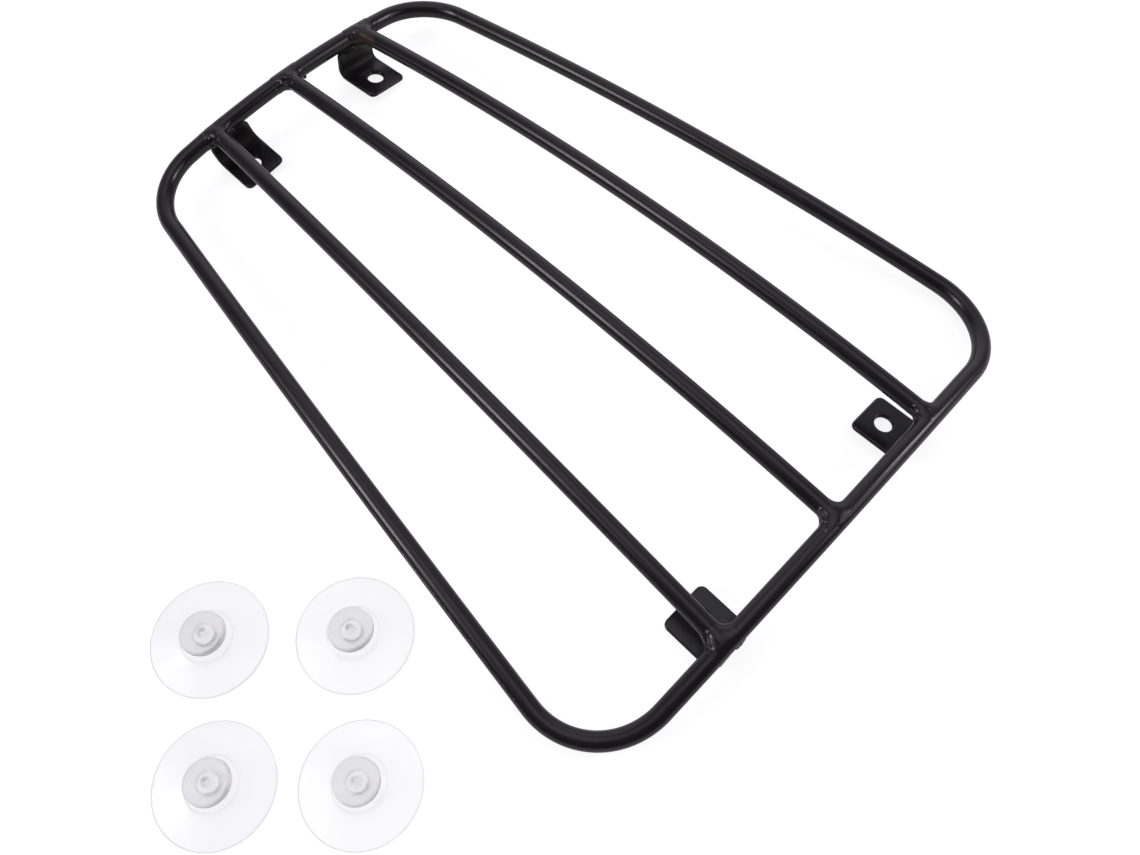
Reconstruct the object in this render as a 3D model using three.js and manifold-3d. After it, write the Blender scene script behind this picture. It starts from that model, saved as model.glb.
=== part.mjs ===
// Rigid welded luggage rack for a crowned surface such as a fuel tank or a boot lid,
// with its four loose clear suction cups lying beside it.
//
// Millimetres, +Z up. X runs across the rack, +Y points to its narrow end, -Y to its wide end.
// The rack stands on its four bent feet on the plane z = 0, and so do the cups.
// Origin: the middle of the whole set's footprint, on that plane.
//
// How the real rack goes together: one round bar bent to a closed loop, three round bars
// welded across it end to end, four bent strip brackets welded under the loop's two ends,
// and a weld bead at every joint. The suction cups are moulded pieces whose necks snap
// into the brackets' holes.

import * as THREE from 'three';
import { mergeVertices } from 'three/addons/utils/BufferGeometryUtils.js';
import Module from 'manifold-3d';

const wasm = await Module();
wasm.setup();

// ---------------------------------------------------------------- driving dimensions
const BAR_R = 4.0;              // radius of the round bar, loop and rails alike
const BAR_SIDES = 16;           // sides of the faceted bar section
const GAP = 0.35;               // clearance kept between welded neighbours

// whole set
const RACK_X = 60.07;           // rack's centre plane, from the middle of the set
const RACK_Y = 0.31;

// outer loop, a rounded trapezoid seen from above
const LENGTH = 337.5;           // narrow end to wide end, bar centre to bar centre
const NARROW_HALF = 88.4;       // half width at the narrow end, sides extended to the corner
const WIDE_HALF = 136.0;        // the same at the wide end
const R_NARROW = 30.6;          // corner bends, at the bar's centre
const R_WIDE = 33.4;
const BOW_NARROW = 0.1;         // gentle bow of each run, positive outward
const BOW_WIDE = 1.3;
const BOW_LEFT = 1.2;
const BOW_RIGHT = 0.5;

// inner rails, each set by hand before welding, so the side ones differ a little
const RAILS = [
  // name, side, distance from the centre plane at the narrow and at the wide end, outward bow
  { name: 'rail_left', side: -1, narrow: 45.1, wide: 65.5, bow: 1.1 },
  { name: 'rail_centre', side: 0, narrow: 0.0, wide: 0.0, bow: 1.3 },
  { name: 'rail_right', side: 1, narrow: 46.1, wide: 63.8, bow: 3.4 },
];
const RAIL_STOP = BAR_R + 0.7;  // rail ends stop this far from the loop's bar centre

// the rack's crowned surface (bar centre height)
const ARCH = 8.7;               // rise of the middle over the two ends
const CROWN_NARROW = 11.9;      // fall at 100 mm either side of the centre plane, narrow end
const CROWN_WIDE = 13.2;        // and wide end
const H_NARROW = 21.96;         // height of the bar centre at the narrow end's middle
const H_WIDE = 25.15;           // and at the wide end's middle

// bent strip brackets
const STRIP_W = 23.1;           // strip width
const STRIP_T = 2.0;            // strip thickness
const FOOT_L = 25.0;            // foot length, inboard end to the web's outer face
const BEND_R = 3.0;             // inside bend radius
const FOOT_CORNER_R = 3.0;      // foot's inboard corners
const WEB_CORNER_R = 3.0;       // web's top corners
const HOLE_R = 3.95;            // hole for the cup's neck
const HOLE_IN = 9.9;            // hole centre from the foot's inboard end
const BRACKETS = [
  // name, side (+1 right), end (+1 narrow), x of the centre, y of the inboard end,
  // roll outward and turn about +Z in degrees, foot's top face to the web's top edge,
  // how far across the strip the hole was punched off its middle
  { name: 'bracket_wide_left', side: -1, end: -1, x: 60.65, inboard: 145.25, roll: 8.0, turn: -1.3, web: 11.6, hole: -0.6 },
  { name: 'bracket_wide_right', side: 1, end: -1, x: 57.8, inboard: 145.4, roll: 10.4, turn: 0.5, web: 11.7, hole: 0 },
  { name: 'bracket_narrow_left', side: -1, end: 1, x: 38.85, inboard: 145.0, roll: 7.1, turn: -0.5, web: 12.0, hole: -0.6 },
  { name: 'bracket_narrow_right', side: 1, end: 1, x: 40.3, inboard: 143.4, roll: 9.8, turn: 4.0, web: 11.2, hole: 0 },
];

// suction cups
const CUP_R = 23.5;             // disc radius
const CUPS = [
  // name, x and y on the floor, from the rack's centre
  { name: 'suction_cup_1', x: -199.2, y: -20.1 },
  { name: 'suction_cup_2', x: -158.2, y: -60.5 },
  { name: 'suction_cup_3', x: -231.5, y: -65.8 },
  { name: 'suction_cup_4', x: -193.3, y: -104.9 },
];

// ---------------------------------------------------------------- materials
const blackCoat = () => new THREE.MeshStandardMaterial({ color: 0x1d1c20, roughness: 0.42, metalness: 0.1 });
const blackCoatWeld = () => new THREE.MeshStandardMaterial({ color: 0x1f1d20, roughness: 0.36, metalness: 0.1 });
const clearVinyl = () => new THREE.MeshStandardMaterial({ color: 0xe9e8f2, roughness: 0.12, metalness: 0.0, transparent: true, opacity: 0.45 });

// ---------------------------------------------------------------- helpers
const rack = new THREE.Group();
rack.position.set(RACK_X, RACK_Y, 0);
const set = new THREE.Group();
set.add(rack);

// only positions, shared vertices merged
function bare(geometry) {
  const g = geometry.clone();
  g.deleteAttribute('normal');
  g.deleteAttribute('uv');
  return mergeVertices(g, 1e-4);
}

function toSolid(geometry) {
  const g = bare(geometry);
  const index = g.index.array;
  return new wasm.Manifold(new wasm.Mesh({
    numProp: 3,
    vertProperties: new Float32Array(g.attributes.position.array),
    triVerts: new Uint32Array(index),
  }));
}

function toGeometry(solid) {
  const m = solid.getMesh();
  const g = new THREE.BufferGeometry();
  g.setAttribute('position', new THREE.BufferAttribute(new Float32Array(m.vertProperties), 3));
  g.setIndex(new THREE.BufferAttribute(new Uint32Array(m.triVerts), 1));
  g.computeVertexNormals();
  return g;
}

function piece(parent, name, geometry, material) {
  const mesh = new THREE.Mesh(geometry, material);
  mesh.name = name;
  parent.add(mesh);
  return mesh;
}

// bar centre height over the floor at (x, y), rack coordinates
function railZ(x, y) {
  const h = (H_NARROW + H_WIDE) / 2 + (H_NARROW - H_WIDE) * (y / LENGTH);
  return h + ARCH * (1 - (2 * y / LENGTH) ** 2) - crown(y) * (x / 100) ** 2;
}
function crown(y) {
  return (CROWN_NARROW + CROWN_WIDE) / 2 + (CROWN_NARROW - CROWN_WIDE) * (y / LENGTH);
}
function railSlope(x, y) {
  return [
    -2 * crown(y) * x / 1e4,
    (H_NARROW - H_WIDE) / LENGTH - 8 * ARCH * y / (LENGTH * LENGTH)
      - (CROWN_NARROW - CROWN_WIDE) / LENGTH * (x / 100) ** 2,
  ];
}
function lift(x, y, tx, ty) {
  const [sx, sy] = railSlope(x, y);
  return {
    p: new THREE.Vector3(x, y, railZ(x, y)),
    t: new THREE.Vector3(tx, ty, sx * tx + sy * ty).normalize(),
  };
}

// a curve given by stations, so that the rings of a swept bar sit where they are wanted
class StationCurve extends THREE.Curve {
  constructor(stations, closed) {
    super();
    this.stations = stations;
    this.closed = closed;
    this.count = closed ? stations.length : stations.length - 1;
  }
  at(t) {
    const k = Math.round(t * this.count);
    return this.stations[this.closed ? k % this.count : k];
  }
  getPoint(t) { return this.at(t).p.clone(); }
  getPointAt(u) { return this.getPoint(u); }
  getTangent(t) { return this.at(t).t.clone(); }
  getTangentAt(u) { return this.getTangent(u); }
}

// ---------------------------------------------------------------- outer loop
function loopStations() {
  const c = [
    new THREE.Vector2(-NARROW_HALF, LENGTH / 2), new THREE.Vector2(NARROW_HALF, LENGTH / 2),
    new THREE.Vector2(WIDE_HALF, -LENGTH / 2), new THREE.Vector2(-WIDE_HALF, -LENGTH / 2),
  ];
  const radius = [R_NARROW, R_NARROW, R_WIDE, R_WIDE];
  const bow = [BOW_NARROW, BOW_RIGHT, BOW_WIDE, BOW_LEFT];
  const runRings = [6, 12, 8, 12];
  const bends = c.map((p, i) => {
    const u = c[(i + 3) % 4].clone().sub(p).normalize();
    const v = c[(i + 1) % 4].clone().sub(p).normalize();
    const angle = Math.acos(u.dot(v));
    const back = radius[i] / Math.tan(angle / 2);
    const mid = u.clone().add(v).normalize();
    return {
      start: p.clone().addScaledVector(u, back),
      end: p.clone().addScaledVector(v, back),
      centre: p.clone().addScaledVector(mid, radius[i] / Math.sin(angle / 2)),
    };
  });
  const out = [];
  for (let i = 0; i < 4; i++) {
    const b = bends[i];
    const a0 = Math.atan2(b.start.y - b.centre.y, b.start.x - b.centre.x);
    const a1 = Math.atan2(b.end.y - b.centre.y, b.end.x - b.centre.x);
    let da = a1 - a0;
    while (da > Math.PI) da -= 2 * Math.PI;
    while (da < -Math.PI) da += 2 * Math.PI;
    const n = 8;
    for (let k = 0; k < n; k++) {
      const a = a0 + da * k / n;
      out.push(lift(b.centre.x + radius[i] * Math.cos(a), b.centre.y + radius[i] * Math.sin(a),
        -Math.sin(a) * Math.sign(da), Math.cos(a) * Math.sign(da)));
    }
    const s0 = b.end, s1 = bends[(i + 1) % 4].start;
    const d = s1.clone().sub(s0);
    const len = d.length();
    d.normalize();
    const nrm = new THREE.Vector2(-d.y, d.x);
    if (nrm.dot(s0.clone().add(s1)) < 0) nrm.negate();
    for (let k = 0; k < runRings[i]; k++) {
      const s = k / runRings[i];
      const off = 4 * bow[i] * s * (1 - s);
      const p = s0.clone().addScaledVector(d, s * len).addScaledVector(nrm, off);
      const t = d.clone().multiplyScalar(len).addScaledVector(nrm, 4 * bow[i] * (1 - 2 * s));
      out.push(lift(p.x, p.y, t.x, t.y));
    }
  }
  return out;
}

// y of the loop's bar centre across an end, at x
function endY(end, x) {
  const narrow = end > 0;
  const half = narrow ? NARROW_HALF : WIDE_HALF;
  const r = narrow ? R_NARROW : R_WIDE;
  const lean = Math.atan((WIDE_HALF - NARROW_HALF) / LENGTH) * (narrow ? -1 : 1);
  const back = r / Math.tan((Math.PI / 2 - lean) / 2);
  const flat = half - back;
  const s = (x + flat) / (2 * flat);
  const bow = narrow ? BOW_NARROW : BOW_WIDE;
  return end * (LENGTH / 2 + 4 * bow * s * (1 - s));
}

const stations = loopStations();
const loopCurve = new StationCurve(stations, true);
const loopGeometry = (r) => bare(new THREE.TubeGeometry(loopCurve, stations.length, r, BAR_SIDES, true));
piece(rack, 'outer_loop', loopGeometry(BAR_R), blackCoat());

// ---------------------------------------------------------------- inner rails
function circleShape(r) {
  const pts = [];
  for (let k = 0; k < BAR_SIDES; k++) {
    const a = 2 * Math.PI * k / BAR_SIDES;
    pts.push(new THREE.Vector2(r * Math.cos(a), r * Math.sin(a)));
  }
  return new THREE.Shape(pts);
}

function railPoint(rail, s) {
  const x0 = rail.side * rail.narrow, x1 = rail.side * rail.wide;
  const dx = x1 - x0, dy = -LENGTH;
  const len = Math.hypot(dx, dy);
  let nx = dy / len, ny = -dx / len;
  if (nx * (rail.side || 1) < 0) { nx = -nx; ny = -ny; }
  const off = 4 * rail.bow * s * (1 - s);
  const dOff = 4 * rail.bow * (1 - 2 * s);
  return lift(x0 + dx * s + nx * off, LENGTH / 2 + dy * s + ny * off, dx + nx * dOff, dy + ny * dOff);
}

function railCurve(rail, stop) {
  const ends = [1, -1].map((end) => {
    const x = rail.side * (end > 0 ? rail.narrow : rail.wide);
    const y = endY(end, x) - end * stop;
    return (LENGTH / 2 - y) / LENGTH;
  });
  const n = 12;
  const st = [];
  for (let k = 0; k <= n; k++) st.push(railPoint(rail, ends[0] + (ends[1] - ends[0]) * k / n));
  return new StationCurve(st, false);
}

function railGeometry(rail, r, stop) {
  const curve = railCurve(rail, stop);
  return bare(new THREE.ExtrudeGeometry(circleShape(r), { steps: curve.count, bevelEnabled: false, extrudePath: curve }));
}

for (const rail of RAILS) piece(rack, rail.name, railGeometry(rail, BAR_R, RAIL_STOP), blackCoat());

// ---------------------------------------------------------------- brackets
// Local frame of a bracket: x across the strip, y from the foot's inboard end (0) to the
// web's outer face (FOOT_L), z = 0 on the foot's top face.
function arc(cx, cy, r, from, to, n) {
  const pts = [];
  for (let k = 0; k <= n; k++) {
    const a = THREE.MathUtils.degToRad(from + (to - from) * k / n);
    pts.push(new THREE.Vector2(cx + r * Math.cos(a), cy + r * Math.sin(a)));
  }
  return pts;
}

function bracketGeometry(b, grow) {
  const webTop = b.web + grow;
  // side profile in (y, z): foot, bend, web
  const cy = FOOT_L - STRIP_T - BEND_R, cz = BEND_R;
  const profile = new THREE.Shape([
    new THREE.Vector2(-grow, grow),
    ...arc(cy, cz, BEND_R - grow, -90, 0, 6),
    new THREE.Vector2(FOOT_L - STRIP_T - grow, webTop),
    new THREE.Vector2(FOOT_L + grow, webTop),
    ...arc(cy, cz, BEND_R + STRIP_T + grow, 0, -90, 6),
    new THREE.Vector2(-grow, -STRIP_T - grow),
  ]);
  const w = STRIP_W + 2 * grow;
  const strip = new THREE.ExtrudeGeometry(profile, { depth: w, bevelEnabled: false, curveSegments: 1 });
  // extrusion runs along +z of the shape: turn (y, z, x) into place
  strip.applyMatrix4(new THREE.Matrix4().set(
    0, 0, 1, -w / 2,
    1, 0, 0, 0,
    0, 1, 0, 0,
    0, 0, 0, 1));
  let solid = toSolid(strip);
  if (grow > 0) return solid;
  // rounded inboard corners of the foot, seen from above
  const h = STRIP_W / 2, r = FOOT_CORNER_R;
  const plan = new THREE.Shape([
    ...arc(-h + r, r, r, 180, 270, 5), ...arc(h - r, r, r, 270, 360, 5),
    new THREE.Vector2(h, FOOT_L + 1), new THREE.Vector2(-h, FOOT_L + 1),
  ]);
  const planG = new THREE.ExtrudeGeometry(plan, { depth: 40, bevelEnabled: false, curveSegments: 1 });
  planG.translate(0, 0, -10);
  solid = solid.intersect(toSolid(planG));
  // rounded top corners of the web, seen from the front
  const q = WEB_CORNER_R;
  const front = new THREE.Shape([
    new THREE.Vector2(-h - 1, -10), new THREE.Vector2(h + 1, -10), new THREE.Vector2(h + 1, 2),
    new THREE.Vector2(h, 2), ...arc(h - q, webTop - q, q, 0, 90, 4), ...arc(-h + q, webTop - q, q, 90, 180, 4),
    new THREE.Vector2(-h, 2), new THREE.Vector2(-h - 1, 2),
  ]);
  const frontG = new THREE.ExtrudeGeometry(front, { depth: 60, bevelEnabled: false, curveSegments: 1 });
  frontG.rotateX(Math.PI / 2);
  frontG.translate(0, 50, 0);
  solid = solid.intersect(toSolid(frontG));
  // hole for the cup's neck
  const hole = new THREE.CylinderGeometry(HOLE_R, HOLE_R, 12, 24);
  hole.rotateX(Math.PI / 2);
  hole.translate(b.hole, HOLE_IN, 0);
  return solid.subtract(toSolid(hole));
}

// place of a bracket's local frame in the rack
function bracketMatrix(b) {
  const roll = THREE.MathUtils.degToRad(b.roll);
  // the foot's outer bottom edge lies on the floor
  const z = STRIP_T * Math.cos(roll) + (STRIP_W / 2) * Math.sin(roll);
  const m = new THREE.Matrix4().makeTranslation(b.side * b.x, b.end * b.inboard, z);
  m.multiply(new THREE.Matrix4().makeRotationZ(THREE.MathUtils.degToRad(b.turn)));
  m.multiply(new THREE.Matrix4().makeRotationY(b.side * roll));
  if (b.end < 0) m.multiply(new THREE.Matrix4().makeRotationZ(Math.PI));
  return m;
}

for (const b of BRACKETS) {
  const mesh = piece(rack, b.name, toGeometry(bracketGeometry(b, 0)), blackCoat());
  bracketMatrix(b).decompose(mesh.position, mesh.quaternion, mesh.scale);
}

// ---------------------------------------------------------------- welds
const loopTool = toSolid(loopGeometry(BAR_R + GAP));
const railTools = RAILS.map((rail) => toSolid(railGeometry(rail, BAR_R + GAP, RAIL_STOP - 0.3)));
const bracketTools = BRACKETS.map((b) => {
  const g = toGeometry(bracketGeometry(b, GAP));
  g.applyMatrix4(bracketMatrix(b));
  return toSolid(g);
});

// a bead round each rail end, against the loop
const railBeadTools = [];
RAILS.forEach((rail, i) => {
  for (const end of [1, -1]) {
    const x = rail.side * (end > 0 ? rail.narrow : rail.wide);
    const y = endY(end, x);
    const ball = (grow) => {
      const g = new THREE.SphereGeometry(1, 12, 8);
      g.rotateX(Math.PI / 2);
      g.scale(6.5 + grow, 5.7 + grow, 5.8 + grow);
      g.rotateX(Math.atan(railSlope(x, y)[1]));
      g.translate(x, y - end * (BAR_R + 0.6), railZ(x, y - end * (BAR_R + 0.6)));
      return toSolid(g);
    };
    railBeadTools.push(ball(GAP));
    let bead = ball(0).subtract(loopTool).subtract(railTools[i]);
    for (const t of bracketTools) bead = bead.subtract(t);
    piece(rack, `weld_${rail.name}_${end > 0 ? 'narrow' : 'wide'}`, toGeometry(bead), blackCoatWeld());
  }
});

// a fillet on each side of each bracket's web, against the loop's underside
BRACKETS.forEach((b, i) => {
  const m = bracketMatrix(b);
  for (const face of ['inner', 'outer']) {
    const n = 8, r = 2.3;
    const side = face === 'inner' ? -1 : 1;
    // the inner bead keeps to the half of the web that the rail end leaves free
    const half = face === 'inner' ? 2.4 : 7.6;
    const xc = face === 'inner' ? -b.side * b.end * 6.0 : 0;
    const yc = FOOT_L - STRIP_T / 2 + side * (STRIP_T / 2 + GAP + 0.75);
    const zc = b.web - 0.8;
    const g = new THREE.CapsuleGeometry(r, 2 * half, 3, n);
    g.rotateZ(Math.PI / 2);
    g.translate(xc, yc, zc);
    g.applyMatrix4(m);
    let bead = toSolid(g).subtract(loopTool).subtract(bracketTools[i]);
    for (const t of railTools) bead = bead.subtract(t);
    for (const t of railBeadTools) bead = bead.subtract(t);
    piece(rack, `weld_${b.name}_${face}`, toGeometry(bead), blackCoatWeld());
  }
});

// ---------------------------------------------------------------- suction cups
// One moulding: a dished disc, a raised ring, a neck and a round head with a blind pinhole.
const CUP_PROFILE = [
  [0, 2.4], [7.0, 2.25], [14.0, 1.5], [20.0, 0.5], [CUP_R - 0.3, 0.0], [CUP_R, 0.3],
  [CUP_R - 0.3, 0.85], [17.5, 1.9], [10.8, 3.1], [10.3, 4.0], [9.5, 4.4], [4.0, 4.4],
  [4.0, 7.0], [8.3, 7.0], [8.9, 7.6], [8.8, 9.7], [8.1, 10.3], [3.9, 10.5],
  [1.4, 10.3], [1.3, 7.2], [0, 7.0],
];
for (const c of CUPS) {
  const pts = CUP_PROFILE.map(([r, z]) => new THREE.Vector2(r, z));
  const g = new THREE.LatheGeometry(pts, 24);
  g.rotateX(Math.PI / 2);
  const mesh = piece(rack, c.name, bare(g), clearVinyl());
  mesh.position.set(c.x, c.y, 0);
}

export default set;
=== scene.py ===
import math

import bpy
import numpy as np
from mathutils import Matrix, Vector


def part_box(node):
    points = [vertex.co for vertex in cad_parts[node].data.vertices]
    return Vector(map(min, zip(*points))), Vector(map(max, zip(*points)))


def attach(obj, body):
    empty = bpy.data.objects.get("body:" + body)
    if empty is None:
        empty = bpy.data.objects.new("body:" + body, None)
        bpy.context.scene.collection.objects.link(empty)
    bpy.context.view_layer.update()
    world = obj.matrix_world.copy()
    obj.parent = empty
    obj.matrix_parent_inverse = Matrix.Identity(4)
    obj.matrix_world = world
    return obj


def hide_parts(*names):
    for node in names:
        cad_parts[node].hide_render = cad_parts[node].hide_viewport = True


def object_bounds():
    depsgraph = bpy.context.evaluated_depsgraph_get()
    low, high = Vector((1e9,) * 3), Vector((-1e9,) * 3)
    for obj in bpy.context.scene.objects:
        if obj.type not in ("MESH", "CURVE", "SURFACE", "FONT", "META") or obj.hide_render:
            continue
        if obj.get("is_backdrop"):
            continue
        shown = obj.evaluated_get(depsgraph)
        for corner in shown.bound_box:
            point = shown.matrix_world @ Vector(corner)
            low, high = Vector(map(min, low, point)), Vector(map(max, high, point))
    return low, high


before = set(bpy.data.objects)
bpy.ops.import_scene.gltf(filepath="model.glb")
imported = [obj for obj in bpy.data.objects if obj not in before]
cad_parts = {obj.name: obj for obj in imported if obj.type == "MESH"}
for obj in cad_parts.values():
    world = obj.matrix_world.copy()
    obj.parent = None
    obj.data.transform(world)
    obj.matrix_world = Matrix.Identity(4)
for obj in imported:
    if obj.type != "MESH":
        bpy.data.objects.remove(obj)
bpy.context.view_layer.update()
MM = 0.001

# --------------------------------------------------------------------------
# The rack's driving dimensions, in millimetres, as the CAD has them.
# --------------------------------------------------------------------------
BAR_R = 4.0
LENGTH = 337.5
NARROW_HALF, WIDE_HALF = 88.4, 136.0
R_NARROW, R_WIDE = 30.6, 33.4
BOW_NARROW, BOW_WIDE, BOW_LEFT, BOW_RIGHT = 0.1, 1.3, 1.2, 0.5
ARCH = 8.7
CROWN_NARROW, CROWN_WIDE = 11.9, 13.2
H_NARROW, H_WIDE = 21.96, 25.15
RAILS = [("left", -1, 45.1, 65.5, 1.1), ("centre", 0, 0.0, 0.0, 1.3), ("right", 1, 46.1, 63.8, 3.4)]
STRIP_W, STRIP_T, FOOT_L, BEND_R = 23.1, 2.0, 25.0, 3.0
FOOT_CORNER_R, WEB_CORNER_R = 3.0, 3.0
HOLE_R, HOLE_IN = 3.95, 9.9
BRACKETS = [                      # name, side, end, x, inboard, roll, turn, web height, hole's offset
    ("wide_left", -1, -1, 60.65, 145.25, 8.0, -1.3, 12.4, -0.6),
    ("wide_right", 1, -1, 57.8, 145.4, 10.4, 0.5, 12.4, 0.0),
    ("narrow_left", -1, 1, 38.85, 145.0, 7.1, -0.5, 10.9, -0.6),
    ("narrow_right", 1, 1, 40.3, 143.4, 9.8, 4.0, 12.2, 0.0),
]

# The rack's centre plane in the frame: the middle of the centre rail's narrow
# end weld, and the loop's box along Y.
_lo, _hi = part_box("weld_rail_centre_narrow")
RACK_X = (_lo.x + _hi.x) / 2 / MM
_lo, _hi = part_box("outer_loop")
RACK_Y = (_hi.y / MM) - (LENGTH / 2 + BOW_NARROW + BAR_R)


# --------------------------------------------------------------------------
# small numeric helpers
# --------------------------------------------------------------------------
def crown(y):
    return (CROWN_NARROW + CROWN_WIDE) / 2 + (CROWN_NARROW - CROWN_WIDE) * (y / LENGTH)


def bar_z(x, y):
    h = (H_NARROW + H_WIDE) / 2 + (H_NARROW - H_WIDE) * (y / LENGTH)
    return h + ARCH * (1 - (2 * y / LENGTH) ** 2) - crown(y) * (x / 100) ** 2


def waves(p, scale, seed, n=10):
    """Smooth seeded noise, about -1 to 1, at points p (mm), with features of size scale."""
    rng = np.random.default_rng(seed)
    out = np.zeros(p.shape[:-1])
    for _ in range(n):
        d = rng.normal(size=3)
        d /= np.linalg.norm(d)
        k = 2 * math.pi / (scale * rng.uniform(0.75, 1.7))
        out += np.sin((p @ d) * k + rng.uniform(0, 2 * math.pi))
    return out / math.sqrt(n) * 0.9


def smoothstep(a, b, x):
    t = np.clip((x - a) / (b - a), 0, 1)
    return t * t * (3 - 2 * t)


def new_mesh(name, verts, faces, material, body, replaces, smooth=True, in_rack=True):
    """A mesh object from millimetre vertices, riding on its body and standing for its CAD nodes."""
    v = np.array(verts, float)
    if in_rack:
        v = v + np.array([RACK_X, RACK_Y, 0.0])
    me = bpy.data.meshes.new(name)
    me.from_pydata((v * MM).tolist(), [], faces if isinstance(faces, list) else faces.tolist())
    me.validate()
    if smooth:
        me.polygons.foreach_set("use_smooth", [True] * len(me.polygons))
    me.update()
    ob = bpy.data.objects.new(name, me)
    bpy.context.scene.collection.objects.link(ob)
    me.materials.append(material)
    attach(ob, body)
    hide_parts(*replaces)
    return ob


# --------------------------------------------------------------------------
# camera: the photograph's viewpoint and lens
# --------------------------------------------------------------------------
CAM = np.array([-167.289, -198.441, 396.424]) + np.array([RACK_X, RACK_Y, 0.0])
RIGHT = Vector((0.69637776, -0.71740226, -0.01979948))
DOWN = Vector((-0.65124223, -0.62008295, -0.4374708))
FORWARD = Vector((0.30156521, 0.31753919, -0.89901462))
cam_data = bpy.data.cameras.new("camera")
cam_data.sensor_width = 36.0
cam_data.sensor_fit = "HORIZONTAL"
cam_data.lens = 1020.08 / 1140.0 * 36.0
cam_data.clip_start = 0.01
cam_data.clip_end = 50.0
cam = bpy.data.objects.new("camera", cam_data)
rot = Matrix((RIGHT, -DOWN, -FORWARD)).transposed()
cam.matrix_world = Matrix.Translation(Vector(CAM * MM)) @ rot.to_4x4()
bpy.context.scene.collection.objects.link(cam)
bpy.context.scene.camera = cam


# --------------------------------------------------------------------------
# materials
# --------------------------------------------------------------------------
def nodes_of(mat):
    mat.use_nodes = True
    nt = mat.node_tree
    nt.nodes.clear()
    out = nt.nodes.new("ShaderNodeOutputMaterial")
    bsdf = nt.nodes.new("ShaderNodeBsdfPrincipled")
    nt.links.new(bsdf.outputs[0], out.inputs[0])
    return nt, bsdf, out


def noise(nt, coord, scale, detail=3.0, rough=0.5, dist=0.0):
    n = nt.nodes.new("ShaderNodeTexNoise")
    n.inputs["Scale"].default_value = scale
    n.inputs["Detail"].default_value = detail
    n.inputs["Roughness"].default_value = rough
    n.inputs["Distortion"].default_value = dist
    nt.links.new(coord, n.inputs["Vector"])
    return n.outputs["Fac"]


def map_range(nt, value, a, b, c, d):
    m = nt.nodes.new("ShaderNodeMapRange")
    m.inputs["From Min"].default_value = a
    m.inputs["From Max"].default_value = b
    m.inputs["To Min"].default_value = c
    m.inputs["To Max"].default_value = d
    nt.links.new(value, m.inputs["Value"])
    return m.outputs["Result"]


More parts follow.
